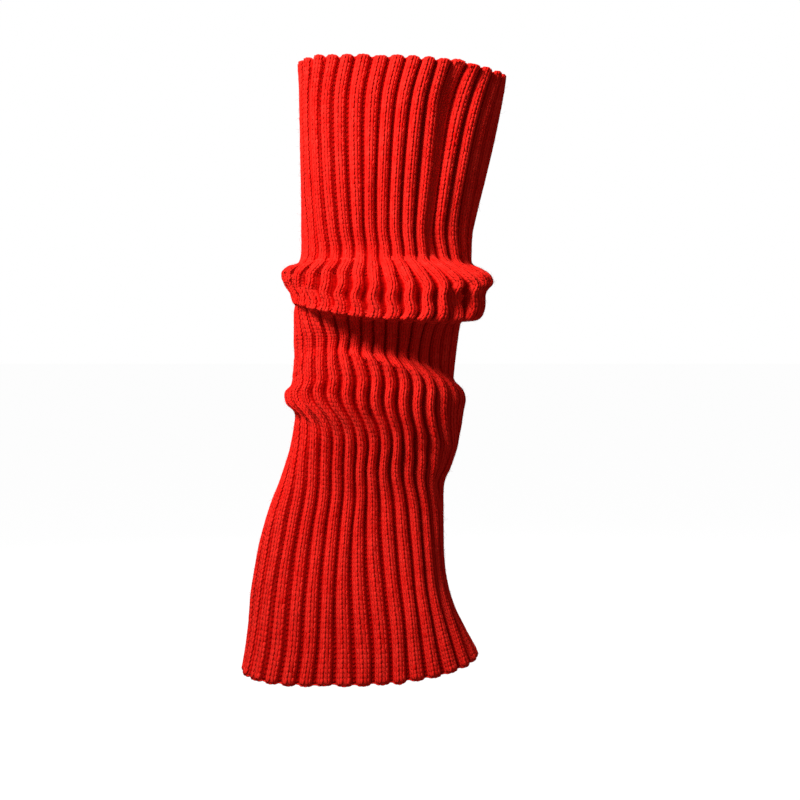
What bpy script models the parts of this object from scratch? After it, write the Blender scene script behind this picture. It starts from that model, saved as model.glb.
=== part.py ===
# Ribbed knit leg warmer, as it is worn: one open tube of two-by-two rib that has slouched down the calf into
# a deep roll, a lip under it and a flared hem. The calf is left out, so the tube is empty.
#
# The frame: metres, +Z up the leg, +X to the shin side, -Y to the side that faces the viewer. The origin is
# on the leg's middle line at the height where the tube grips the calf, just above the roll.

import bpy
import bmesh
import numpy as np

# Driving sizes, in millimetres unless the name says otherwise.
RIB_COUNT = 34
RIB_RISE = 2.6  # from the bottom of a furrow to the crest of a rib
FURROW_WALL = 2.2  # thickness of the cloth at the bottom of a furrow
EDGE_SCALLOP = 1.5  # how far a rib reaches past the furrows at both edges of the tube
MM = 0.001

# The rounded cross-section of one rib, from one furrow to the next: share of its width, share of its rise.
RIB_OUTLINE = ((0.0, 0.0), (0.22, 0.86), (0.5, 1.0), (0.78, 0.86))

# The cloth from the top edge down, a row for each ring. The first four columns say how far the rib crests
# reach from the leg's middle line on each side, and the next four how high the ring is there. Then come the
# number of the rib, counted round the tube, that lies at the middle of the front, how densely the ribs lie on
# the sides compared with the front, and the exponent of the ring's outline on the calf's side and on the
# shin's: 2 is an ellipse, more is squarer.
COLUMNS = ("left", "right", "front", "back", "z_left", "z_right", "z_front", "z_back", "rib", "side", "calf",
           "shin")
RINGS = {
    # name: left, right, front, back, z_left, z_right, z_front, z_back, rib, side, calf, shin
    "top_edge": (58.1, 79.2, 42.0, 42.0, 124.5, 117.0, 125.0, 121.0, 6.1, 0.95, 3.0, 2.05),
    "upper_calf": (57.0, 75.0, 41.5, 42.0, 94.0, 88.0, 96.0, 92.0, 6.3, 0.95, 3.0, 1.75),
    "full_calf": (56.0, 66.0, 40.0, 41.0, 49.5, 49.5, 52.0, 50.0, 6.2, 0.85, 3.0, 1.75),
    "below_calf": (55.5, 58.5, 38.0, 40.0, 16.0, 16.0, 18.0, 16.0, 5.9, 0.75, 3.0, 1.8),
    "grip": (56.8, 56.8, 37.5, 39.5, 1.0, -1.0, 3.0, 1.0, 5.5, 0.7, 3.0, 1.9),
    "roll_crease": (58.5, 57.5, 38.5, 39.5, -6.3, -7.0, -3.5, -5.0, 5.4, 0.7, 2.9, 2.0),
    "roll_top": (64.0, 63.5, 44.5, 45.5, -8.3, -10.0, -8.0, -9.0, 5.3, 0.7, 2.6, 2.2),
    "roll_shoulder": (68.3, 69.5, 51.0, 51.5, -12.0, -14.5, -14.0, -14.5, 5.3, 0.8, 2.3, 2.5),
    "roll_widest": (68.8, 71.0, 55.0, 55.0, -17.0, -19.5, -21.5, -21.5, 5.2, 0.9, 2.2, 2.6),
    "roll_side": (66.0, 65.8, 56.5, 56.0, -22.0, -25.5, -29.5, -28.5, 5.2, 1.0, 2.2, 2.8),
    "roll_low": (62.5, 65.3, 56.5, 55.5, -26.5, -34.5, -37.5, -36.5, 5.2, 1.0, 2.2, 2.8),
    "roll_bottom": (60.3, 61.3, 53.0, 51.5, -31.5, -43.0, -43.5, -42.5, 5.3, 0.95, 2.4, 2.8),
    "roll_under": (59.3, 53.5, 45.0, 44.5, -34.0, -44.5, -43.5, -42.5, 5.3, 0.9, 2.7, 2.6),
    "neck_top": (58.9, 49.2, 38.0, 38.5, -39.0, -46.5, -45.5, -45.0, 5.3, 0.85, 3.0, 2.4),
    "neck": (59.3, 47.0, 36.5, 37.5, -54.0, -60.0, -55.0, -59.0, 5.1, 0.7, 3.0, 2.2),
    "lip_crease": (60.0, 44.8, 37.0, 38.0, -67.0, -80.0, -62.5, -74.0, 5.0, 0.7, 3.0, 2.2),
    "lip_top": (60.3, 46.5, 40.5, 41.0, -73.0, -85.5, -66.5, -79.0, 4.9, 0.75, 3.0, 2.3),
    "lip_shoulder": (61.0, 51.0, 43.5, 44.5, -80.0, -90.0, -73.0, -84.5, 4.8, 0.8, 3.0, 2.4),
    "lip_widest": (62.2, 52.7, 44.5, 46.0, -86.0, -96.5, -82.0, -91.0, 4.6, 0.8, 3.0, 2.5),
    "pouch_crest": (66.6, 51.0, 44.5, 45.5, -90.8, -107.0, -93.0, -99.0, 4.4, 0.8, 3.0, 2.5),
    "pouch_low": (66.4, 48.8, 43.5, 43.5, -97.8, -118.0, -103.0, -107.0, 4.1, 0.8, 3.0, 2.5),
    "pouch_under": (61.0, 46.5, 41.5, 41.5, -104.0, -129.5, -113.0, -115.0, 3.8, 0.8, 3.0, 2.5),
    "bag_low": (60.5, 43.0, 39.5, 40.0, -110.0, -141.0, -124.0, -123.0, 3.4, 0.75, 3.0, 2.6),
    "notch": (64.5, 39.2, 37.0, 38.0, -130.0, -151.0, -140.0, -138.0, 3.0, 0.75, 3.0, 2.8),
    "ankle": (71.0, 38.6, 35.5, 37.0, -150.0, -168.0, -158.0, -157.0, 2.4, 0.8, 3.0, 3.0),
    "below_ankle": (78.5, 38.7, 36.5, 38.0, -171.0, -190.0, -180.0, -180.0, 2.1, 0.85, 3.0, 3.0),
    "heel": (85.0, 40.0, 39.0, 40.0, -197.0, -212.0, -204.0, -204.0, 1.9, 0.9, 3.0, 3.0),
    "flare": (89.5, 45.0, 42.0, 43.0, -222.0, -232.0, -229.0, -228.0, 1.9, 0.9, 3.0, 3.0),
    "above_hem": (92.5, 53.5, 44.5, 45.5, -250.0, -249.5, -256.0, -251.0, 2.1, 0.9, 3.0, 2.8),
    "hem": (96.4, 62.0, 46.0, 47.0, -274.0, -264.5, -278.5, -270.0, 2.3, 0.95, 3.0, 2.6),
}

# Soft troughs pressed into the tube, each along one rib: the rib's number, the rings where it begins, is
# deepest and ends, half its width in ribs, its depth, and how far it draws the ribs together, from 0 to 1.
TROUGH_COLUMNS = ("rib", "begins", "deepest", "ends", "ribs_wide", "depth", "gather")
TROUGHS = {
    "shin_side_crease": (9.5, "top_edge", "upper_calf", "roll_crease", 0.9, 9.0, 0.55),
    "back_crease": (24.5, "top_edge", "full_calf", "roll_crease", 1.3, 5.0, 0.3),
    "bag_crease": (9.6, "pouch_crest", "bag_low", "ankle", 0.7, 3.5, 0.3),
    "back_bag_crease": (21.0, "lip_widest", "bag_low", "below_ankle", 1.1, 4.0, 0.2),
}

RING_NAMES = list(RINGS)
LAST_RING = len(RINGS) - 1
TROUGH_FADE = 0.5  # below 1, a trough keeps its depth for most of its length
GATHER_REACH = 1.2  # a trough draws ribs together over this many times its half width
OUTLINE_STEPS = 720  # points on which a ring's outline is measured before the ribs are spread along it


def along(column, place):
    """The smooth curve through one column of RINGS, read at a place from the first ring, 0, to the last."""
    values = np.array([row[COLUMNS.index(column)] for row in RINGS.values()])
    before, after = 2 * values[0] - values[1], 2 * values[-1] - values[-2]
    padded = np.concatenate(([before], values, [after]))
    i = min(int(place), LAST_RING - 1)
    t = place - i
    a, b, c, d = padded[i : i + 4]
    bend = (2 * a - 5 * b + 4 * c - d) * t**2 + (3 * b - a - 3 * c + d) * t**3
    return 0.5 * (2 * b + (c - a) * t + bend)


def ring(place, ribs):
    """Points of the rib crests' envelope at one place along the cloth, one for each rib number in ribs, and
    the level directions that point out of the tube there."""
    size = {name: along(name, place) for name in COLUMNS}
    turn = np.linspace(-0.5 * np.pi, 1.5 * np.pi, OUTLINE_STEPS + 1)  # starts at the middle of the front
    cos, sin = np.cos(turn), np.sin(turn)
    middle = 0.5 * (size["right"] - size["left"])
    half_width = 0.5 * (size["right"] + size["left"])
    half_depth = np.where(sin < 0, size["front"], size["back"])
    power = 2 / np.where(cos > 0, size["shin"], size["calf"])
    round_cos = np.sign(cos) * np.abs(cos) ** power
    round_sin = np.sign(sin) * np.abs(sin) ** power
    x = middle + half_width * round_cos
    y = half_depth * round_sin
    mean = 0.25 * (size["z_left"] + size["z_right"] + size["z_front"] + size["z_back"])
    lean_x = 0.5 * (size["z_right"] - size["z_left"])
    lean_y = 0.5 * (size["z_back"] - size["z_front"])
    saddle = 0.25 * (size["z_left"] + size["z_right"] - size["z_front"] - size["z_back"])
    z = mean + lean_x * cos + lean_y * sin + saddle * np.cos(2 * turn)

    steps = np.hypot(np.diff(x), size["side"] * np.diff(y))
    walked = np.concatenate(([0], np.cumsum(steps)))
    share = np.mod((np.asarray(ribs, float) - size["rib"]) / RIB_COUNT, 1.0)
    at = share * walked[-1]
    points = np.stack([np.interp(at, walked, column) for column in (x, y, z)], axis=1)
    way = np.stack([np.gradient(y), -np.gradient(x), np.zeros_like(x)], axis=1)
    way /= np.maximum(np.linalg.norm(way, axis=1, keepdims=True), 1e-9)
    outward = np.stack([np.interp(at, walked, column) for column in way.T], axis=1)
    return points, outward


def troughs_at(place, ribs):
    """Each trough at one place: its row, its strength there, and how many ribs off it each rib is."""
    for row in TROUGHS.values():
        trough = dict(zip(TROUGH_COLUMNS, row))
        begins, deepest, ends = (RING_NAMES.index(trough[key]) for key in ("begins", "deepest", "ends"))
        if place < deepest:
            strength = (place - begins) / (deepest - begins)
        else:
            strength = (ends - place) / (ends - deepest)
        off = np.mod(ribs - trough["rib"] + RIB_COUNT / 2, RIB_COUNT) - RIB_COUNT / 2
        yield trough, np.clip(strength, 0, 1) ** TROUGH_FADE, off


def envelope(place, ribs):
    """The rib crests' envelope with the ribs drawn together at the troughs and the troughs pressed in."""
    place = min(max(place, 0.0), float(LAST_RING))
    ribs = np.asarray(ribs, float)
    drawn, depth = ribs.copy(), np.zeros(len(ribs))
    for trough, strength, off in troughs_at(place, ribs):
        near = np.exp(-((off / (GATHER_REACH * trough["ribs_wide"])) ** 2))
        drawn -= trough["gather"] * strength * off * near
        depth += trough["depth"] * strength * np.exp(-((off / trough["ribs_wide"]) ** 2))
    points, outward = ring(place, drawn)
    return points - outward * depth[:, None]


def outward_normals(place, ribs):
    """The directions that stand square on the envelope, out of the tube."""
    ahead, across = 0.35, 0.3  # in rings and in ribs
    ribs = np.asarray(ribs, float)
    down = envelope(place + ahead, ribs) - envelope(place - ahead, ribs)
    round_it = envelope(place, ribs + across) - envelope(place, ribs - across)
    normals = np.cross(down, round_it)
    return normals / np.linalg.norm(normals, axis=1, keepdims=True)


def tube_rings():
    """Outer and inner points of the cloth at every ring: ribs raised on the outside, plain inside."""
    outline = np.array(RIB_OUTLINE)
    outer_ribs = (np.arange(RIB_COUNT)[:, None] + outline[:, 0]).ravel()
    rise = np.tile(outline[:, 1], RIB_COUNT)
    inner_ribs = np.arange(RIB_COUNT)
    outer, inner = [], []
    for place in range(LAST_RING + 1):
        sunk = RIB_RISE * (1 - rise)
        points = envelope(place, outer_ribs) - outward_normals(place, outer_ribs) * sunk[:, None]
        if place == 0:
            points[:, 2] += EDGE_SCALLOP * (rise - 1)
        if place == LAST_RING:
            points[:, 2] -= EDGE_SCALLOP * (rise - 1)
        outer.append(points)
        wall = RIB_RISE + FURROW_WALL
        inner.append(envelope(place, inner_ribs) - outward_normals(place, inner_ribs) * wall)
    return outer, inner


def add_rings(mesh, rings):
    return [[mesh.verts.new(point * MM) for point in points] for points in rings]


def add_wall(mesh, rings, outside):
    """Four-sided faces between neighbouring rings, facing out of the cloth."""
    count = len(rings[0])
    for upper, lower in zip(rings, rings[1:]):
        for i in range(count):
            j = (i + 1) % count
            corners = (upper[i], lower[i], lower[j], upper[j])
            mesh.faces.new(corners if outside else corners[::-1])


def add_rim(mesh, outer, inner, top):
    """The cut edge of the cloth: one face for each rib, from the outer ring to the inner one."""
    share = len(outer) // len(inner)
    for i in range(len(inner)):
        j = (i + 1) % len(inner)
        crest = [outer[(i * share + k) % len(outer)] for k in range(share + 1)]
        corners = crest + [inner[j], inner[i]]
        mesh.faces.new(corners if top else corners[::-1])


def knit_material():
    material = bpy.data.materials.new("red_rib_knit")
    material.use_nodes = True
    shader = material.node_tree.nodes["Principled BSDF"]
    shader.inputs["Base Color"].default_value = (0.62, 0.015, 0.01, 1.0)
    shader.inputs["Roughness"].default_value = 0.9
    shader.inputs["Metallic"].default_value = 0.0
    return material


def make_rib_tube():
    outer, inner = tube_rings()
    mesh = bmesh.new()
    outer_rings = add_rings(mesh, outer)
    inner_rings = add_rings(mesh, inner)
    add_wall(mesh, outer_rings, outside=True)
    add_wall(mesh, inner_rings, outside=False)
    add_rim(mesh, outer_rings[0], inner_rings[0], top=True)
    add_rim(mesh, outer_rings[-1], inner_rings[-1], top=False)
    bmesh.ops.triangulate(mesh, faces=mesh.faces[:])
    data = bpy.data.meshes.new("rib_tube")
    mesh.to_mesh(data)
    mesh.free()
    data.shade_smooth()
    data.materials.append(knit_material())
    tube = bpy.data.objects.new("rib_tube", data)
    bpy.context.scene.collection.objects.link(tube)
    return tube


def main():
    for item in list(bpy.data.objects):
        bpy.data.objects.remove(item)
    make_rib_tube()


main()
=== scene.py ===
import math
import bpy
import numpy as np
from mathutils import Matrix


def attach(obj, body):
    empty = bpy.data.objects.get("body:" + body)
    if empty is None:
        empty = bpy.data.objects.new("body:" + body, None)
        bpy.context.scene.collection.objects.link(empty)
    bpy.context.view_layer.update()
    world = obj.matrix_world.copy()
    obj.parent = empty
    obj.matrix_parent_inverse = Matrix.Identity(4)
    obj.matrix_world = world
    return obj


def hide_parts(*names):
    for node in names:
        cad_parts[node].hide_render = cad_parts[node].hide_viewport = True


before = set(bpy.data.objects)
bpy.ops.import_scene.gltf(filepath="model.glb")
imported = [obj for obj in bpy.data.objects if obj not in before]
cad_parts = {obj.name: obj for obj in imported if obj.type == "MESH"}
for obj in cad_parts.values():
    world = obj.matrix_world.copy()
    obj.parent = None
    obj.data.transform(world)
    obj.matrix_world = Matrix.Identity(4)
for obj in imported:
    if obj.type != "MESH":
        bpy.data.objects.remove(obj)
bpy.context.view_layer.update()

mm = 0.001

# The form of the knitted tube, shared by every piece below; sizes in millimetres.
tubeForm = {
    "ribCount": 34,
    "rowHeight": 2.9,       # one knitted row
    "ringSteps": 1440,      # points on which a ring is worked out
    "columns": ("left", "right", "front", "back", "zLeft", "zRight", "zFront", "zBack", "rib", "side",
                "calf", "shin"),
    # reach of the rib crests from the leg's middle line on four sides, height of the ring on four sides,
    # the rib at the middle of the front, how densely the ribs lie on the two sides, where 1 is evenly, and
    # the outline's exponent on the calf's side and the shin's: 2 is an ellipse, more is squarer
    "rings": {
        "topEdge": (58.1, 79.2, 42.0, 42.0, 124.5, 117.0, 125.0, 121.0, 5.8, 0.95, 3.0, 2.05),
        "upperCalf": (57.0, 75.0, 41.5, 42.0, 94.0, 88.0, 96.0, 92.0, 6.3, 0.95, 3.0, 1.75),
        "fullCalf": (56.0, 66.0, 40.0, 41.0, 49.5, 49.5, 52.0, 50.0, 6.2, 0.85, 3.0, 1.75),
        "belowCalf": (55.5, 58.5, 38.0, 40.0, 16.0, 16.0, 18.0, 16.0, 5.9, 0.75, 3.0, 1.8),
        "grip": (56.8, 56.8, 37.5, 39.5, 1.0, -1.0, 3.0, 1.0, 5.5, 0.7, 3.0, 1.9),
        "rollCrease": (58.5, 57.5, 38.5, 39.5, -6.3, -7.0, -3.5, -5.0, 5.4, 0.7, 2.9, 2.0),
        "rollTop": (64.0, 63.5, 44.5, 45.5, -8.3, -10.0, -8.0, -9.0, 5.3, 0.7, 2.6, 2.2),
        "rollShoulder": (68.3, 69.5, 51.0, 51.5, -12.0, -14.5, -14.0, -14.5, 5.3, 0.8, 2.3, 2.5),
        "rollWidest": (68.8, 71.0, 55.0, 55.0, -17.0, -19.5, -21.5, -21.5, 5.2, 0.9, 2.2, 2.6),
        "rollSide": (66.0, 65.8, 56.5, 56.0, -22.0, -25.5, -29.5, -28.5, 5.2, 1.0, 2.2, 2.8),
        "rollLow": (62.5, 65.3, 56.5, 55.5, -26.5, -34.5, -37.5, -36.5, 5.2, 1.0, 2.2, 2.8),
        "rollBottom": (60.3, 61.3, 53.0, 51.5, -31.5, -43.0, -43.5, -42.5, 5.3, 0.95, 2.4, 2.8),
        "rollUnder": (59.3, 53.5, 45.0, 44.5, -34.0, -44.5, -43.5, -42.5, 5.3, 0.9, 2.7, 2.6),
        "neckTop": (58.9, 49.2, 38.0, 38.5, -39.0, -46.5, -45.5, -45.0, 5.3, 0.85, 3.0, 2.4),
        "neck": (59.3, 47.0, 36.5, 37.5, -54.0, -60.0, -55.0, -59.0, 5.1, 0.7, 3.0, 2.2),
        "lipCrease": (60.0, 44.8, 37.0, 38.0, -67.0, -80.0, -62.5, -74.0, 5.0, 0.7, 3.0, 2.2),
        "lipTop": (60.3, 46.5, 40.5, 41.0, -73.0, -85.5, -66.5, -79.0, 4.9, 0.75, 3.0, 2.3),
        "lipShoulder": (61.0, 51.0, 43.5, 44.5, -80.0, -90.0, -73.0, -84.5, 4.8, 0.8, 3.0, 2.4),
        "lipWidest": (62.2, 52.7, 44.5, 46.0, -86.0, -96.5, -82.0, -91.0, 4.6, 0.8, 3.0, 2.5),
        "pouchCrest": (66.6, 51.0, 44.5, 45.5, -90.8, -107.0, -93.0, -99.0, 4.4, 0.8, 3.0, 2.5),
        "pouchLow": (66.4, 48.8, 43.5, 43.5, -97.8, -118.0, -103.0, -107.0, 4.1, 0.8, 3.0, 2.5),
        "pouchUnder": (61.0, 46.5, 41.5, 41.5, -104.0, -129.5, -113.0, -115.0, 3.8, 0.8, 3.0, 2.5),
        "bagLow": (60.5, 43.0, 39.5, 40.0, -110.0, -141.0, -124.0, -123.0, 3.4, 0.75, 3.0, 2.6),
        "notch": (64.5, 39.2, 37.0, 38.0, -130.0, -151.0, -140.0, -138.0, 3.0, 0.75, 3.0, 2.8),
        "ankle": (71.0, 38.6, 35.5, 37.0, -150.0, -168.0, -158.0, -157.0, 2.4, 0.8, 3.0, 3.0),
        "belowAnkle": (78.5, 38.7, 36.5, 38.0, -171.0, -190.0, -180.0, -180.0, 2.1, 0.85, 3.0, 3.0),
        "heel": (85.0, 40.0, 39.0, 40.0, -197.0, -212.0, -204.0, -204.0, 1.9, 0.9, 3.0, 3.0),
        "flare": (89.5, 45.0, 42.0, 43.0, -222.0, -232.0, -229.0, -228.0, 1.9, 0.9, 3.0, 3.0),
        "aboveHem": (92.5, 53.5, 44.5, 45.5, -250.0, -249.5, -256.0, -251.0, 2.1, 0.9, 3.0, 2.8),
        "hem": (96.4, 62.0, 46.0, 47.0, -274.0, -264.5, -278.5, -270.0, 2.3, 0.95, 3.0, 2.6),
    },
    # share of the pitch that a rib fills, and its height: furrows open where a fold stretches the cloth
    "ribs": {
        "topEdge": (0.80, 2.6), "upperCalf": (0.78, 2.7), "belowCalf": (0.76, 2.8), "grip": (0.76, 2.8),
        "rollCrease": (0.82, 2.5), "rollTop": (0.84, 2.4), "rollShoulder": (0.70, 3.9),
        "rollWidest": (0.63, 5.3), "rollSide": (0.65, 5.5), "rollLow": (0.75, 4.2),
        "rollBottom": (0.94, 1.6), "rollUnder": (0.92, 1.7),
        "neck": (0.80, 2.9), "lipTop": (0.76, 3.4), "lipWidest": (0.72, 4.2), "pouchLow": (0.70, 4.6),
        "bagLow": (0.74, 3.7), "ankle": (0.75, 2.9), "hem": (0.77, 2.7),
    },
    # soft troughs along a rib: the rib, the rings where it begins, is deepest and ends, half width in ribs,
    # depth, and how far it draws the ribs together
    "troughs": {
        "shinSideCrease": (9.5, "topEdge", "upperCalf", "rollCrease", 0.9, 7.8, 0.5),
        "backCrease": (24.5, "topEdge", "fullCalf", "rollCrease", 1.3, 5.0, 0.3),
        "shinSideGather": (9.5, "upperCalf", "fullCalf", "rollTop", 0.9, 0.0, 0.35),
        "bagCrease": (9.6, "pouchUnder", "notch", "ankle", 0.7, 3.4, 0.3),
        "backBagCrease": (21.0, "lipWidest", "bagLow", "belowAnkle", 1.1, 4.0, 0.2),
    },
    "gatherReach": 1.2,     # ribs are drawn together over this many half widths of the trough
    # small dents, or ridges where the depth is negative: ring and how far on to the next, rib, half length
    # in rings, half width in ribs, slant in rings for each rib, depth
    "dents": {
        "rollHollow": ("rollSide", 0.4, 9.5, 1.1, 0.8, 0.0, 5.5),
        "rollKnuckle": ("rollWidest", 0.8, 10.7, 1.3, 0.6, 0.0, -2.4),
        "rollNotch": ("rollSide", 0.5, 12.4, 0.8, 0.9, 0.0, 2.0),
        "rollBelly": ("rollBottom", 0.0, 3.5, 0.8, 7.0, 0.0, -3.0),
        "neckBulge": ("neckTop", 0.4, 0.0, 1.8, 3.2, 0.0, -3.2),
        "rollFrontHollow": ("rollShoulder", 0.5, 1.6, 0.9, 1.1, 0.3, 1.4),
        "backRollHollow": ("rollSide", 0.2, 20.5, 1.2, 1.1, 0.1, 2.8),
        "backRollKnuckle": ("rollSide", 0.0, 22.2, 1.2, 0.9, 0.0, -1.6),
        "pinchUnderLip": ("pouchUnder", 0.3, 7.4, 0.6, 1.5, 0.25, 1.4),
        "pouchFold": ("pouchUnder", 0.2, -3.0, 0.5, 1.2, 0.3, 1.6),
        "bagSide": ("pouchUnder", 0.0, 9.4, 1.5, 1.6, 0.0, -2.6),
        "softLip": ("lipTop", 0.2, 4.6, 0.6, 3.0, 0.3, -1.6),
        "gripHollow": ("grip", 0.0, 3.0, 0.7, 2.6, -0.05, 1.2),
        "shinHollow": ("fullCalf", 0.2, 7.6, 0.9, 1.4, 0.0, 1.5),
        "heelHollow": ("heel", 0.0, 5.6, 0.8, 1.6, 0.1, 1.4),
        "backGripHollow": ("grip", 0.0, 20.0, 0.8, 2.6, 0.05, 1.6),
        "backPinch": ("lipShoulder", 0.4, 17.5, 0.6, 2.2, 0.2, 2.0),
        "backLowFold": ("notch", 0.2, 22.5, 0.5, 2.4, -0.2, 1.8),
    },
    # how far the ribs sway aside, in ribs, and the cloth swells, in millimetres, each from two noises: size,
    # seed, number of waves, and the most periods down the cloth and round it
    "sway": ((0.045, 4, 26, (6, 7)), (0.014, 9, 30, (14, 24))),
    "swell": ((0.30, 5, 24, (9, 7)), (0.12, 6, 24, (24, 17))),
}

ringNames = list(tubeForm["rings"])
lastRing = len(ringNames) - 1
ribCount = tubeForm["ribCount"]


def ringSizes(places):
    rows = np.array(list(tubeForm["rings"].values()))
    rows = np.vstack([2 * rows[0] - rows[1], rows, 2 * rows[-1] - rows[-2]])
    i = np.minimum(places.astype(int), lastRing - 1)
    t = (places - i)[:, None]
    a, b, c, d = (rows[i + k] for k in range(4))
    return 0.5 * (2 * b + (c - a) * t + (2 * a - 5 * b + 4 * c - d) * t**2 + (3 * b - a - 3 * c + d) * t**3)


def ringPoints(size, ribs):
    turn = np.linspace(-0.5 * np.pi, 1.5 * np.pi, tubeForm["ringSteps"] + 1)  # from the middle of the front
    cos, sin = np.cos(turn), np.sin(turn)
    power = 2 / np.where(cos > 0, size["shin"], size["calf"])
    halfWidth = 0.5 * (size["right"] + size["left"])
    x = 0.5 * (size["right"] - size["left"]) + halfWidth * np.sign(cos) * np.abs(cos) ** power
    y = np.where(sin < 0, size["front"], size["back"]) * np.sign(sin) * np.abs(sin) ** power
    mean = 0.25 * (size["zLeft"] + size["zRight"] + size["zFront"] + size["zBack"])
    saddle = 0.25 * (size["zLeft"] + size["zRight"] - size["zFront"] - size["zBack"])
    z = mean + 0.5 * (size["zRight"] - size["zLeft"]) * cos + 0.5 * (size["zBack"] - size["zFront"]) * sin
    z += saddle * np.cos(2 * turn)
    walked = np.concatenate(([0], np.cumsum(np.hypot(np.diff(x), size["side"] * np.diff(y)))))
    at = np.mod((ribs - size["rib"]) / ribCount, 1.0) * walked[-1]
    way = np.stack([np.gradient(y), -np.gradient(x)], axis=1)
    way /= np.maximum(np.linalg.norm(way, axis=1, keepdims=True), 1e-9)
    points = np.stack([np.interp(at, walked, v) for v in (x, y, z)], axis=1)
    outward = np.stack([np.interp(at, walked, v) for v in way.T] + [np.zeros(len(at))], axis=1)
    return points, outward


def ribGap(ribs, middle):
    return np.mod(ribs - middle + ribCount / 2, ribCount) - ribCount / 2


def pressedIn(place, ribs):
    # how deep the troughs and dents press the cloth in, and where the ribs lie that they draw together
    depth, drawn = np.zeros(len(ribs)), ribs.copy()
    for rib, begins, deepest, ends, ribsWide, deep, gather in tubeForm["troughs"].values():
        begins, deepest, ends = (ringNames.index(n) for n in (begins, deepest, ends))
        growing, fading = (place - begins) / (deepest - begins), (ends - place) / (ends - deepest)
        strength = np.clip(growing if place < deepest else fading, 0, 1) ** 0.5
        gap = ribGap(ribs, rib)
        depth += deep * strength * np.exp(-((gap / ribsWide) ** 2))
        drawn -= gather * strength * gap * np.exp(-((gap / (tubeForm["gatherReach"] * ribsWide)) ** 2))
    for ring, on, rib, ringsLong, ribsWide, slant, deep in tubeForm["dents"].values():
        gap = ribGap(ribs, rib)
        along = (place - ringNames.index(ring) - on - slant * gap) / ringsLong
        depth += deep * np.exp(-(along**2) - (gap / ribsWide) ** 2)
    return depth, drawn


def smoothNoise(seed, shape, waves, reach):
    # a smooth uneven field over the cloth, with no seam where the tube closes
    rng = np.random.default_rng(seed)
    u = np.linspace(0, 1, shape[0])[:, None]
    v = np.linspace(0, 2 * np.pi, shape[1], endpoint=False)[None, :]
    field = np.zeros(shape)
    for _ in range(waves):
        alongWaves, roundWaves = rng.uniform(1, reach[0]), rng.integers(0, reach[1] + 1)
        field += np.sin(2 * np.pi * (alongWaves * u + rng.uniform()) + roundWaves * v + rng.uniform(0, 6.28))
    return field / math.sqrt(waves / 2)


def unevenness(kind, shape):
    return sum(size * smoothNoise(seed, shape, waves, reach) for size, seed, waves, reach in tubeForm[kind])


def unit(vectors):
    return vectors / np.maximum(np.linalg.norm(vectors, axis=-1, keepdims=True), 1e-9)


class Cloth:
    # the surface over the rib crests, sampled once on a fine grid, where all is placed by ring and rib
    stepsPerRing, stepsPerRib = 12, 6
    inset = (1.9, 1.5)  # the rounded edges and their chains stand this far past the last rows, top and hem

    def __init__(self):
        places = np.linspace(0, lastRing, lastRing * self.stepsPerRing + 1)
        ribs = np.arange(ribCount * self.stepsPerRib) / self.stepsPerRib
        shape = (len(places), len(ribs))
        sway, swell = unevenness("sway", shape), unevenness("swell", shape)
        self.points = np.empty(shape + (3,))
        for k, (place, row) in enumerate(zip(places, ringSizes(places))):
            size = dict(zip(tubeForm["columns"], row))
            depth, drawn = pressedIn(place, ribs)
            points, outward = ringPoints(size, drawn + sway[k])
            self.points[k] = points - outward * (depth - swell[k])[:, None]
        down = np.gradient(self.points, axis=0)
        wrapped = np.concatenate([self.points[:, -2:], self.points, self.points[:, :2]], axis=1)
        across = (wrapped[:, 3:-1] - wrapped[:, 1:-3]) / 2
        self.normals = unit(np.cross(down, across))
        self.down = unit(down)
        self.ribWidth = np.linalg.norm(across, axis=2) * self.stepsPerRib
        steps = np.linalg.norm(np.diff(self.points, axis=0), axis=2).mean(axis=1)
        self.walked = np.concatenate(([0], np.cumsum(steps)))  # mean way down the cloth
        self.places = places
        self.length = self.walked[-1]
        self.rows = int(round(self.length / tubeForm["rowHeight"]))

    def read(self, field, place, rib):
        grid = getattr(self, field)
        p = np.clip(place, 0, lastRing) * self.stepsPerRing
        i = np.minimum(p.astype(int), grid.shape[0] - 2)
        s = p - i
        q = np.mod(rib, ribCount) * self.stepsPerRib
        j = q.astype(int) % grid.shape[1]
        t = q - np.floor(q)
        k = (j + 1) % grid.shape[1]
        if grid.ndim == 3:
            s, t = s[..., None], t[..., None]
        upper = grid[i, j] * (1 - t) + grid[i, k] * t
        lower = grid[i + 1, j] * (1 - t) + grid[i + 1, k] * t
        return upper * (1 - s) + lower * s

    def placeOfRow(self, row):
        share = np.asarray(row) / self.rows
        return np.interp(self.inset[0] + share * (self.length - sum(self.inset)), self.walked, self.places)


cloth = Cloth()
print(f"form: {cloth.length:.0f} mm of cloth, {cloth.rows} rows")


# The ribbed skins of the cloth, outside and inside.
skinShape = {
    "crestSunk": 0.28,      # the skin lies this far under the stitches' tops
    "furrowWall": 1.3,      # thickness under the furrows
    "insideRise": 1.3,      # the inside is ribbed too, between the outer ribs
    "roundness": (2.2, 0.65),  # the exponents of a rib's section
    "dip": (0.03, 0.16),    # between the two wales: depth as a share of the height, reach in half widths
    "scallop": (1.6, 0.5),  # how far a rib's end reaches past the furrows, top and hem
    "scallopRows": 3.5,
    "scallopSide": 1.2,     # the ends draw back up to this many half widths from a rib's middle
    "scallopFade": 1.5,
    "ragged": 0.5,          # how unevenly the ribs end
    "raggedSeed": 11,
    "edgeRound": 0.36,      # height of the rounded edge, as a share of the wall
}


def ribValue(place, column):
    rings = [ringNames.index(name) for name in tubeForm["ribs"]]
    return np.interp(place, rings, [row[column] for row in tubeForm["ribs"].values()])


def ribSide(place, rib):
    # how far a rib number is from its rib's middle, in half widths of the rib
    return (np.mod(rib, 1) - 0.5) * 2 / ribValue(place, 0)


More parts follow.
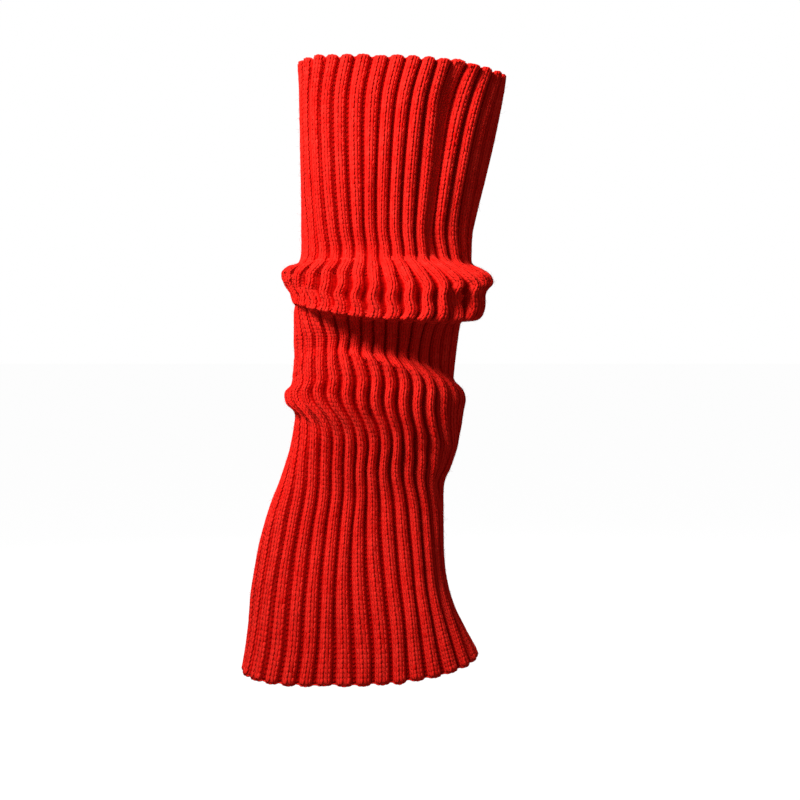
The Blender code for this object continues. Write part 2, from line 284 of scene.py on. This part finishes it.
def ribHeight(side):
    # round, with a slight dip between the two wales
    near = np.minimum(np.abs(side), 1)
    (first, second), (deep, wide) = skinShape["roundness"], skinShape["dip"]
    return (1 - near**first) ** second - deep * np.exp(-((side / wide) ** 2))


raggedEnds = np.random.default_rng(skinShape["raggedSeed"]).normal(0, skinShape["ragged"], 2 * ribCount + 1)
raggedEnds[-1] = raggedEnds[0]


def scalloped(points, place, rib, side):
    walked = np.interp(place, cloth.places, cloth.walked)
    reach = skinShape["scallopRows"] * tubeForm["rowHeight"]
    pull = np.minimum(np.abs(side), skinShape["scallopSide"]) ** 2
    top = np.clip(1 - walked / reach, 0, 1) ** skinShape["scallopFade"]
    hem = np.clip(1 - (cloth.length - walked) / reach, 0, 1) ** skinShape["scallopFade"]
    points[..., 2] += pull * (hem * skinShape["scallop"][1] - top * skinShape["scallop"][0])
    ragged = np.interp(np.mod(rib, ribCount), np.arange(2 * ribCount + 1) / 2, raggedEnds)
    points[..., 2] += (top + hem) * ragged
    return points


def outerSkin(place, rib):
    side = ribSide(place, rib)
    sunk = ribValue(place, 1) * (1 - ribHeight(side)) + skinShape["crestSunk"]
    points = cloth.read("points", place, rib) - cloth.read("normals", place, rib) * sunk[..., None]
    return scalloped(points, place, rib, side)


def innerSkin(place, rib):
    side = ribSide(place, rib)
    wall = ribValue(place, 1) + skinShape["crestSunk"] + skinShape["furrowWall"]
    sunk = wall - skinShape["insideRise"] * np.sin(np.pi * rib) ** 2
    points = cloth.read("points", place, rib) - cloth.read("normals", place, rib) * sunk[..., None]
    return scalloped(points, place, rib, side)


def edgePoint(end, rib, share):
    # points of the rounded edge: end 0 is the top and 1 the hem, share 0 the outer skin and 1 the inner
    place = cloth.placeOfRow(np.full(np.shape(rib), end * cloth.rows, float))
    outer, inner = outerSkin(place, rib), innerSkin(place, rib)
    points = outer + (inner - outer) * np.asarray(share)[..., None]
    wall = np.linalg.norm(inner - outer, axis=-1)
    points[..., 2] += (1 - 2 * end) * skinShape["edgeRound"] * wall * np.sin(np.pi * np.asarray(share))
    return points


def addMesh(name, points, faces, material, toneAndShade=None, maps=None):
    data = bpy.data.meshes.new(name)
    data.vertices.add(len(points))
    data.vertices.foreach_set("co", (np.asarray(points) * mm).astype(np.float32).ravel())
    corners = np.concatenate([np.asarray(group).ravel() for group in faces])
    sizes = np.concatenate([np.full(len(group), np.asarray(group).shape[1]) for group in faces])
    data.loops.add(len(corners))
    data.loops.foreach_set("vertex_index", corners.astype(np.int32))
    data.polygons.add(len(sizes))
    data.polygons.foreach_set("loop_start", np.concatenate(([0], np.cumsum(sizes)[:-1])).astype(np.int32))
    data.update(calc_edges=True)
    data.shade_smooth()
    for label, values in (maps or {}).items():
        data.uv_layers.new(name=label).data.foreach_set("uv", values.astype(np.float32).ravel())
    # a value for each point that the yarn materials read: random tone, painted shade where it is low and
    # painted highlight where it is high
    if toneAndShade is not None:
        shade = data.attributes.new("toneAndShade", "FLOAT", "POINT")
        shade.data.foreach_set("value", toneAndShade.astype(np.float32).ravel())
    data.materials.append(material)
    piece = bpy.data.objects.new(name, data)
    bpy.context.scene.collection.objects.link(piece)
    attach(piece, "root")
    print(f"{name}: {int((sizes - 2).sum())} triangles")
    return piece


# Materials.
class Wire:
    # one socket of a material, so that the shader's sums read as sums
    def __init__(self, material, socket):
        self.material, self.socket = material, socket

    def sum(self, operation, first, second):
        return self.material.node("Math", {"operation": operation}, {0: first, 1: second})

    def __add__(self, other):
        return self.sum("ADD", self, other)

    def __radd__(self, other):
        return self.sum("ADD", other, self)

    def __sub__(self, other):
        return self.sum("SUBTRACT", self, other)

    def __rsub__(self, other):
        return self.sum("SUBTRACT", other, self)

    def __mul__(self, other):
        return self.sum("MULTIPLY", self, other)

    def __rmul__(self, other):
        return self.sum("MULTIPLY", other, self)


class Finish:
    # builds one material around its Principled shader
    def __init__(self, name, **constants):
        self.data = bpy.data.materials.new(name)
        self.data.use_nodes = True
        self.tree = self.data.node_tree
        self.shader = self.tree.nodes["Principled BSDF"]
        for label, value in constants.items():
            self.shader.inputs[label.replace("_", " ")].default_value = value

    def node(self, kind, settings=None, sockets=None, output=0):
        made = self.tree.nodes.new("ShaderNode" + kind)
        for label, value in (settings or {}).items():
            setattr(made, label, value)
        for label, value in (sockets or {}).items():
            if isinstance(value, Wire):
                self.tree.links.new(value.socket, made.inputs[label])
            else:
                made.inputs[label].default_value = value
        return Wire(self, made.outputs[output])

    def mix(self, share, first, second):
        return self.node("Mix", {"data_type": "RGBA"}, {0: share, 6: first, 7: second}, output=2)

    def feed(self, label, wire):
        self.tree.links.new(wire.socket, self.shader.inputs[label])


yarnLook = {
    # bright: lighter yarn where the patches are light, which is tone, and on crests and leg middles, which
    # is painted highlight
    "bright": (0.90, 0.034, 0.023, 1),
    "mean": (0.66, 0.0042, 0.0028, 1),
    # deep: painted shade, laid mostly into the furrows and on the purls in them
    "deep": (0.18, 0.0007, 0.0006, 1),
    "specular": 0.0,
    "lightness": (0.8, 0.5, 0.35),  # share of the tone and painted shade, share of the patches, and what is taken off; crests and leg middles come out lighter, a painted highlight
    # painted shade: share of the strands, share of the tone and painted shade, and the sums at which the
    # painted shade is full and gone
    "furrowShade": (0.5, 0.6, 0.2, 0.6),
    "roughness": (0.8, 0.2),  # the least, and what the strands add
    "sheen": 0.05,
    "sheenRoughness": 0.5,
    "sheenTint": (1.0, 0.16, 0.11, 1),
    "strandScale": 2300,
    "patchScale": 60,
    "bump": 0.3,
    # waves over a piece's yarn map, their share of the relief and its depth in millimetres: the twist of a
    # stitch's leg, the rows of the ground, whose map counts ribs and rows, and none on loose yarn
    "waveDistortion": 1.5,
    "twist": {"way": "DIAGONAL", "scale": 2.6, "share": 0.45, "depth": 0.3},
    "rows": {"way": "Y", "scale": 0.314, "share": 0.75, "depth": 1.0},
    "plain": {"way": None, "depth": 0.3},
}


def yarnMaterial(name, lighter, shadeStrength, pattern):
    finish = Finish(
        name, Sheen_Weight=yarnLook["sheen"], Sheen_Roughness=yarnLook["sheenRoughness"],
        Sheen_Tint=yarnLook["sheenTint"], Specular_IOR_Level=yarnLook["specular"],
    )
    at = finish.node("TexCoord", output=3)
    patches = finish.node("TexNoise", {}, {"Vector": at, "Scale": yarnLook["patchScale"], "Detail": 3})
    strands = finish.node("TexNoise", {}, {"Vector": at, "Scale": yarnLook["strandScale"], "Detail": 2})
    toneAndShade = finish.node("Attribute", {"attribute_name": "toneAndShade"}, output=2)
    # lighter where the tone and shade value is high: random tone, and painted highlight on the crests and
    # leg middles
    toneAndShadeShare, patchShare, less = yarnLook["lightness"]
    share = toneAndShade * toneAndShadeShare + patches * patchShare - less + lighter
    light = finish.mix(share, yarnLook["mean"], yarnLook["bright"])
    # painted shade: the deep colour where that value is low, in the furrows, mottled by the strands
    strandShare, toneAndShadeShare, full, none = yarnLook["furrowShade"]
    closed = strands * strandShare + toneAndShade * toneAndShadeShare
    paintedShade = finish.node("MapRange", {}, {0: closed, 1: full, 2: none, 3: shadeStrength, 4: 0.0})
    finish.feed("Base Color", finish.mix(paintedShade, light, yarnLook["deep"]))
    relief = strands
    if pattern["way"]:
        flat = finish.node("UVMap", {"uv_map": "yarn"})
        wave = finish.node("TexWave", {"wave_type": "BANDS", "bands_direction": pattern["way"]},
                           {"Vector": flat, "Scale": pattern["scale"],
                            "Distortion": yarnLook["waveDistortion"], "Detail": 1})
        relief = strands * (1 - pattern["share"]) + wave * pattern["share"]
    bump = {"Strength": yarnLook["bump"], "Distance": pattern["depth"] * mm, "Height": relief}
    finish.feed("Normal", finish.node("Bump", {}, bump))
    least, added = yarnLook["roughness"]
    finish.feed("Roughness", least + strands * added)
    return finish.data


stitchYarn = yarnMaterial("stitchYarn", 0.0, 0.3, yarnLook["twist"])
groundYarn = yarnMaterial("groundYarn", -0.1, 1.0, yarnLook["rows"])
looseYarn = yarnMaterial("looseYarn", 0.15, 0.4, yarnLook["plain"])
print("materials done")


# The ribbed ground under the stitches: a closed wall that stands for the whole tube.
groundShape = {
    # points across a rib in half widths from its middle; the first one is the middle of the furrow
    "sides": (None, -1.0, -0.9, -0.72, -0.4, 0.0, 0.4, 0.72, 0.9, 1.0),
    "rowsOutside": 118,
    "rowsInside": 52,
    "edgeShares": (0.12, 0.32, 0.5, 0.68, 0.88),
    "toneAndShade": (0.0, 0.35, 0.95),  # of the yarn in the furrows, on their edges and under the stitches: the low values paint shade into the furrows
    "insideShade": 0.5,     # painted shade: how much darker the inside is between its own ribs
    "flatSize": (0.30, 0.49),  # metres: 150 mm wide laid flat, so 300 mm all round
}


def makeGround():
    sides = groundShape["sides"]
    around = ribCount * len(sides)

    def ribNumbers(place):
        fill = float(ribValue(place, 0))
        shares = [0.0 if side is None else 0.5 + side * fill / 2 for side in sides]
        return (np.arange(ribCount)[:, None] + np.array(shares)).ravel()

    def band(skin, count):
        places = cloth.placeOfRow(np.linspace(0, cloth.rows, count + 1))
        return [skin(np.full(around, place), ribNumbers(place)) for place in places]

    shares = groundShape["edgeShares"]
    hem = [edgePoint(1, ribNumbers(lastRing), np.float64(share)) for share in shares]
    top = [edgePoint(0, ribNumbers(0), np.float64(share)) for share in shares]
    rings = band(outerSkin, groundShape["rowsOutside"]) + hem
    rings += band(innerSkin, groundShape["rowsInside"])[::-1] + top[::-1]
    count = len(rings)
    i, j = np.meshgrid(np.arange(count), np.arange(around), indexing="ij")
    below, beside = (i + 1) % count, (j + 1) % around
    corners = ((i, j), (below, j), (below, beside), (i, beside))
    quads = np.stack([m * around + n for m, n in corners], axis=-1)
    rowsAt = np.concatenate([
        np.linspace(0, cloth.rows, groundShape["rowsOutside"] + 1), np.full(len(shares), cloth.rows),
        np.linspace(cloth.rows, 0, groundShape["rowsInside"] + 1), np.zeros(len(shares) + 1)])
    ribsAt = np.append(ribNumbers(0), ribCount)
    mapCorners = ((i, j), (i + 1, j), (i + 1, j + 1), (i, j + 1))
    flat = np.stack([np.stack([ribsAt[n], rowsAt[m]], axis=-1) for m, n in mapCorners], axis=2)
    # painted shade: low values in the outer furrows and between the inside's ribs, high ones on the crests
    furrow, edge, crest = groundShape["toneAndShade"]
    shade = groundShape["insideShade"]
    outside = [furrow if side is None else edge if abs(side) == 1 else crest for side in sides]
    inside = [crest if side is None else crest - shade * (1 - abs(side)) for side in sides]
    outsideRings = groundShape["rowsOutside"] + 1
    toneAndShade = np.tile(outside, ribCount * outsideRings), np.tile(inside, ribCount * (count - outsideRings))
    ground = addMesh("rib_ground", np.concatenate(rings), [quads.reshape(-1, 4)], groundYarn,
                     toneAndShade=np.concatenate(toneAndShade), maps={"yarn": flat})
    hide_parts("rib_tube")


makeGround()


# Yarn legs: short pointed sweeps of yarn, of which all the stitches are made.
legShape = {
    "sides": 5,
    "shadedEnds": (0.8, 0.95),  # share of a leg's tone kept at its tips and on its outer levels: painted shade where a leg dives under its neighbours
    "mapRoom": (0.06, 0.88),  # margin and width of a leg's chart in its cell of the bake map
}


def yarnLegs(name, middles, outs, halves, highs, toneAndShade, material, sides=legShape["sides"]):
    # the four lists after the name hold one array for each level along the legs, from first tip to last
    levels, count = len(middles), len(middles[0])
    rings = []
    for k, (middle, out, half, high) in enumerate(zip(middles, outs, halves, highs)):
        if k in (0, levels - 1):
            rings.append((middle + out * high[:, None])[:, None, :])
            continue
        across = unit(np.cross(out, middles[k + 1] - middles[k - 1]))
        angles = np.pi / 2 + 2 * np.pi * np.arange(sides) / sides
        rings.append(middle[:, None] + across[:, None] * np.cos(angles)[:, None] * half[:, None, None]
                     + out[:, None] * np.sin(angles)[:, None] * high[:, None, None])
    points = np.concatenate(rings, axis=1)
    perLeg = points.shape[1]
    tris, quads, triMap, quadMap = [], [], [], []
    for s in range(sides):
        t = (s + 1) % sides
        tris += [(0, 1 + t, 1 + s), (perLeg - 1, perLeg - 1 - sides + s, perLeg - 1 - sides + t)]
        left, middle, right = s / sides, (s + 0.5) / sides, (s + 1) / sides
        first, last = 1 / (levels - 1), 1 - 1 / (levels - 1)
        triMap += [(middle, 0, right, first, left, first), (middle, 1, left, last, right, last)]
        for level in range(levels - 3):
            a = 1 + level * sides
            low, up = (level + 1) / (levels - 1), (level + 2) / (levels - 1)
            quads.append((a + s, a + t, a + sides + t, a + sides + s))
            quadMap.append((left, low, right, low, right, up, left, up))
    start = np.arange(count)[:, None, None] * perLeg
    groups = [np.array(group) for group in (tris, quads) if group]
    faces = [(group + start).reshape(-1, group.shape[1]) for group in groups]
    charts = [np.array(group, float).reshape(1, -1, 2) for group in (triMap, quadMap) if group]
    margin, room = legShape["mapRoom"]
    grid = math.ceil(math.sqrt(count))
    cell = np.stack([np.arange(count) % grid, np.arange(count) // grid], axis=1)[:, None, :]
    maps = {
        "yarn": np.concatenate([np.tile(chart.ravel(), count) for chart in charts]),
        "OFBake": np.concatenate([((cell + margin + room * chart) / grid).ravel() for chart in charts]),
    }
    # painted shade at a leg's tips and outer levels, a lighter middle
    tipShare, outerShare = legShape["shadedEnds"]
    kept = [tipShare]
    for k in range(1, levels - 1):
        kept += [1.0 if abs(2 * k - levels + 1) < 2 else outerShare] * sides
    kept.append(tipShare)
    addMesh(name, points.reshape(-1, 3), faces, material, toneAndShade=toneAndShade[:, None] * np.array(kept), maps=maps)


def standing(skin, place, rib, facing, step=0.02):
    # points on a skin, and the directions that stand on it there
    aside = skin(place, rib + step) - skin(place, rib - step)
    return skin(place, rib), unit(np.cross(cloth.read("down", place, rib), aside)) * facing


# Knit stitches: every stitch is a V of two legs, two wales to a rib.
stitchShape = {
    "halfWidth": 0.28,      # of a leg, in wales
    "pairWidth": 0.96,      # of a rib's two wales, as a share of the rib
    "thickness": 0.27,      # height above the skin at the leg's middle
    "uneven": 0.07,         # of the width
    "unevenRows": 0.6,      # as a share of uneven, as the next one is
    "unevenHeight": 2,
    "pastEdge": 0.3,        # rows that a leg may reach past the last one
    "toneAndShade": (0.64, 0.12),   # mean and spread
    "seed": 20,
    # a leg from its foot up: side step in wales, rows up, share of full width, share of full height
    "leg": ((0.05, -0.66, 0.4, -0.3), (0.14, -0.22, 0.95, 0.8), (0.22, 0.28, 1.0, 1.0),
            (0.27, 0.76, 0.95, 0.8), (0.28, 1.22, 0.45, -0.4)),
    # name: how far down the rows each piece reaches, as a share
    "pieces": {"upper_stitches": 0.26, "roll_stitches": 0.50, "lip_stitches": 0.75, "hem_stitches": 1.0},
    "insideRows": (15, 11),  # rows of stitches on the inside under the top edge and over the hem
    "insideWale": 0.2,      # share of the pitch
    "insideSeed": 31,
}


def knitStitches(name, rows, middle, waleWidth, skin, facing, seed):
    # middle is where a pair of wales sits between rib numbers, waleWidth gives a wale's share of the pitch
    rng = np.random.default_rng(seed)
    row, rib, wale, side = (v.ravel() for v in np.meshgrid(
        rows, np.arange(ribCount) + middle, (-0.5, 0.5), (-1.0, 1.0), indexing="ij"))
    count, uneven = len(row), stitchShape["uneven"]
    row = row + rng.normal(0, uneven, count) * stitchShape["unevenRows"]
    wide = 1 + rng.normal(0, uneven, count)
    high = 1 + rng.normal(0, uneven, count) * stitchShape["unevenHeight"]
    past = stitchShape["pastEdge"]
    middles, outs, halves, highs = [], [], [], []
    for step, up, wideShare, highShare in stitchShape["leg"]:
        place = cloth.placeOfRow(np.clip(row + 0.5 - up, -past, cloth.rows + past))
        width = waleWidth(place)
        point, out = standing(skin, place, rib + (wale + side * step) * width, facing)
        middles.append(point)
        outs.append(out)
        half = cloth.read("ribWidth", place, rib) * width * stitchShape["halfWidth"]
        halves.append(half * wideShare * wide)
        highs.append(stitchShape["thickness"] * highShare * high)
    toneAndShade = np.clip(rng.normal(*stitchShape["toneAndShade"], count), 0, 1)
    yarnLegs(name, middles, outs, halves, highs, toneAndShade, stitchYarn)


def makeStitches():
    def outsideWale(place):
        return stitchShape["pairWidth"] * ribValue(place, 0) / 2

    def insideWale(place):
        return np.full(np.shape(place), stitchShape["insideWale"])

    first = 0
    for k, (name, share) in enumerate(stitchShape["pieces"].items()):
        last = int(round(share * cloth.rows))
        knitStitches(name, np.arange(first, last), 0.5, outsideWale, outerSkin, 1.0, stitchShape["seed"] + k)
        first = last
    top, hem = stitchShape["insideRows"]
    rows = np.concatenate([np.arange(top), np.arange(cloth.rows - hem, cloth.rows)])
    knitStitches("inside_stitches", rows, 0.0, insideWale, innerSkin, -1.0, stitchShape["insideSeed"])


makeStitches()


# Purl bumps: the short bars of yarn at the bottom of the furrows, one to a row.
purlShape = {
    "halfLength": 0.45,     # as a share of the furrow's width
    "halfWidth": 1.3,
    "height": 0.14,
    # a bar from end to end: share of the half length, of the half width and of the height
    "bar": ((-1.0, 0.2, 0.0), (0.0, 1.0, 1.0), (1.0, 0.2, 0.0)),
    "sides": 4,
    "uneven": 0.06,         # of the rows
    "seed": 41,
    # a low value, painted shade on the bars at the bottom of the furrows
    "toneAndShade": 0.1,
    "leastFill": 0.72,      # where the ribs fill less of the pitch, the stretched furrow lies smooth
}


def makePurls():
    rng = np.random.default_rng(purlShape["seed"])
    grid = np.meshgrid(np.arange(cloth.rows) + 0.5, np.arange(ribCount), indexing="ij")
    row, rib = (v.ravel() for v in grid)
    place = cloth.placeOfRow(row + rng.normal(0, purlShape["uneven"], len(row)))
    shown = ribValue(place, 0) > purlShape["leastFill"]
    rib, place = rib[shown], place[shown]
    reach = (1 - ribValue(place, 0)) * purlShape["halfLength"]
    middles, outs, halves, highs = [], [], [], []
    for step, wide, high in purlShape["bar"]:
        middles.append(outerSkin(place, rib + step * reach))
        outs.append(cloth.read("normals", place, rib))
        halves.append(np.full(len(rib), purlShape["halfWidth"] * wide))
        highs.append(np.full(len(rib), purlShape["height"] * high))
    toneAndShade = np.full(len(rib), purlShape["toneAndShade"])
    yarnLegs("furrow_purls", middles, outs, halves, highs, toneAndShade, groundYarn, sides=purlShape["sides"])


makePurls()


# The chains along both edges: four links to a rib, each a V that lies along the edge.
chainShape = {
    "linksPerRib": 4,
    "halfWidth": 0.62,
    "height": 0.62,
    # a leg along the edge: links along, share of the wall aside, share of full width, share of full height
    "leg": ((-0.55, 0.03, 0.2, -0.5), (-0.2, 0.12, 0.95, 0.85), (0.2, 0.2, 1.0, 1.0),
            (0.6, 0.24, 0.85, 0.7), (0.95, 0.22, 0.2, -0.5)),
    "uneven": (0.012, 0.08, 0.10),  # of a link's place in ribs, its width and its height
    "toneAndShade": (0.7, 0.12),    # mean and spread
    "steps": (0.03, 0.1),   # ahead in ribs and aside in walls, to find which way is out
}


def makeChain(name, end, seed):
    rng = np.random.default_rng(seed)
    links = chainShape["linksPerRib"]
    grid = np.meshgrid(np.arange(ribCount * links) / links, (-1.0, 1.0), indexing="ij")
    at, side = (v.ravel() for v in grid)
    (moved, wider, higher), (aheadStep, asideStep) = chainShape["uneven"], chainShape["steps"]
    at = at + rng.normal(0, moved, len(at))
    middles, outs, halves, highs = [], [], [], []
    for along, aside, wide, high in chainShape["leg"]:
        middles.append(edgePoint(end, at + along / links, 0.5 + side * aside))
        tilt = edgePoint(end, at + along / links, 0.5 + side * (aside + asideStep)) - middles[-1]
        ahead = edgePoint(end, at + along / links + aheadStep, 0.5 + side * aside) - middles[-1]
        outs.append(unit(np.cross(ahead, tilt)) * (side * (1 - 2 * end))[:, None])
        halves.append(chainShape["halfWidth"] * wide * (1 + rng.normal(0, wider, len(at))))
        highs.append(chainShape["height"] * high * (1 + rng.normal(0, higher, len(at))))
    toneAndShade = np.clip(rng.normal(*chainShape["toneAndShade"], len(at)), 0, 1)
    yarnLegs(name, middles, outs, halves, highs, toneAndShade, stitchYarn)


makeChain("top_chain", 0, 51)
makeChain("hem_chain", 1, 52)


# Loose fibres: short fine ribbons that lie on the stitches and blur them a little.
fibreShape = {
    "count": 7000,
    "length": (2.5, 6.0),
    "halfWidth": 0.055,
    "lift": (0.15, 0.75),
    "rootLift": 0.15,       # how far along its arch of lift a fibre begins
    "segments": 3,
    "spread": 0.95,         # over how much of a rib they lie
    "bend": 0.25,
    "tilt": 0.6,
    "taper": 0.7,
    "toneAndShade": 0.6,
    "seed": 61,
}


def makeFibres():
    rng = np.random.default_rng(fibreShape["seed"])
    count, segments = fibreShape["count"], fibreShape["segments"]
    place = cloth.placeOfRow(rng.uniform(1, cloth.rows - 1, count))
    spread, nearest = fibreShape["spread"], rng.integers(0, ribCount, count) + 0.5
    rib = nearest + rng.uniform(-spread, spread, count) * ribValue(place, 0) / 2
    point, out = standing(outerSkin, place, rib, 1.0)
    point = point + out * stitchShape["thickness"]
    down = cloth.read("down", place, rib)
    turn = rng.uniform(-np.pi, np.pi, count)[:, None]
    way = down * np.cos(turn) + np.cross(out, down) * np.sin(turn)
    bend = np.cross(out, way) * rng.normal(0, fibreShape["bend"], count)[:, None]
    length = rng.uniform(*fibreShape["length"], count)[:, None]
    lift = rng.uniform(*fibreShape["lift"], count)[:, None]
    flat = unit(np.cross(way, out) + out * rng.normal(0, fibreShape["tilt"], count)[:, None])
    strips = []
    for k in range(segments + 1):
        t = k / segments
        arch = math.sin(math.pi * min(t + fibreShape["rootLift"], 1))
        middle = point + (way * t + bend * t**2) * length + out * lift * arch
        half = fibreShape["halfWidth"] * (1 - fibreShape["taper"] * t)
        strips += [middle - flat * half, middle + flat * half]
    points = np.stack(strips, axis=1)
    quads = np.array([(2 * k, 2 * k + 1, 2 * k + 3, 2 * k + 2) for k in range(segments)])
    quads = quads[None] + np.arange(count)[:, None, None] * points.shape[1]
    addMesh("loose_fibres", points.reshape(-1, 3), [quads.reshape(-1, 4)], looseYarn,
            toneAndShade=np.full(count * points.shape[1], fibreShape["toneAndShade"]))


makeFibres()


# The stage, light and camera.
stageSetup = {
    "floorHeight": -0.335,
    "floorReach": 14.0,
    "floorGrain": (3.0, 0.98),  # scale, and the colour's darkest share
    "floorColour": (0.08, 0.08, 0.08, 1),
    "floorGlow": 0.965,
    "skyForCamera": 1.0,
    "skyLight": 0.2,
    # name: position, aimed at, width, height, watts
    "lights": {
        "key": ((-0.45, -0.44, 0.56), (0.0, 0.0, 0.30), 0.30, 0.30, 15.8),
        "back": ((-0.24, 0.80, 0.50), (0.0, 0.0, -0.05), 0.5, 0.5, 10.0),
    },
}

cameraSetup = {
    "position": (0.0092, -1.22, -0.0495),
    "tiltDown": 2.2,
    "pixelsAcross": 800,
    "focalPixels": 1848,
    "sensorWidth": 36.0,    # millimetres
    "clip": (0.05, 60),
}


def makeStage():
    white = Finish("paleFloor", Roughness=0.9, Specular_IOR_Level=0.0)
    grainScale, darkest = stageSetup["floorGrain"]
    grain = white.node("TexNoise", {}, {"Scale": grainScale, "Detail": 2})
    low = tuple(darkest * v for v in stageSetup["floorColour"][:3]) + (1,)
    white.feed("Base Color", white.mix(grain, low, stageSetup["floorColour"]))
    white.shader.inputs["Emission Color"].default_value = (1, 1, 1, 1)
    white.shader.inputs["Emission Strength"].default_value = stageSetup["floorGlow"]
    reach, height = stageSetup["floorReach"], stageSetup["floorHeight"]
    data = bpy.data.meshes.new("floor")
    corners = [(x * reach, y * reach, height) for x, y in ((-1, -1), (1, -1), (1, 1), (-1, 1))]
    data.from_pydata(corners, [], [(0, 1, 2, 3)])
    data.materials.append(white.data)
    floor = bpy.data.objects.new("floor", data)
    bpy.context.scene.collection.objects.link(floor)
    floor.visible_diffuse = floor.visible_glossy = False  # a white floor would light the folds from below

    world = bpy.data.worlds.new("studio")
    world.use_nodes = True
    tree = world.node_tree
    tree.nodes.clear()
    seen, lit = tree.nodes.new("ShaderNodeBackground"), tree.nodes.new("ShaderNodeBackground")
    seen.inputs[0].default_value, seen.inputs[1].default_value = (1, 1, 1, 1), stageSetup["skyForCamera"]
    lit.inputs[0].default_value, lit.inputs[1].default_value = (1, 1, 1, 1), stageSetup["skyLight"]
    kinds = ("LightPath", "MixShader", "OutputWorld")
    rays, mixed, out = (tree.nodes.new("ShaderNode" + kind) for kind in kinds)
    tree.links.new(rays.outputs["Is Camera Ray"], mixed.inputs[0])
    tree.links.new(lit.outputs[0], mixed.inputs[1])
    tree.links.new(seen.outputs[0], mixed.inputs[2])
    tree.links.new(mixed.outputs[0], out.inputs[0])
    bpy.context.scene.world = world

    for name, (position, target, width, height, watts) in stageSetup["lights"].items():
        lamp = bpy.data.lights.new(name, "AREA")
        lamp.shape, lamp.size, lamp.size_y, lamp.energy = "RECTANGLE", width, height, watts
        holder = bpy.data.objects.new(name, lamp)
        holder.location = position
        x, y, z = np.array(target) - np.array(position)
        holder.rotation_euler = (math.atan2(math.hypot(x, y), -z), 0, math.atan2(-x, y))
        bpy.context.scene.collection.objects.link(holder)


def makeCamera():
    lens = bpy.data.cameras.new("photoView")
    lens.sensor_width = cameraSetup["sensorWidth"]
    lens.lens = cameraSetup["sensorWidth"] * cameraSetup["focalPixels"] / cameraSetup["pixelsAcross"]
    lens.clip_start, lens.clip_end = cameraSetup["clip"]
    camera = bpy.data.objects.new("photoView", lens)
    camera.location = cameraSetup["position"]
    camera.rotation_euler = (math.radians(90 - cameraSetup["tiltDown"]), 0, 0)
    bpy.context.scene.collection.objects.link(camera)
    bpy.context.scene.camera = camera
    bpy.context.scene.view_settings.view_transform = "Standard"


makeStage()
makeCamera()
print("stage, light and camera done")
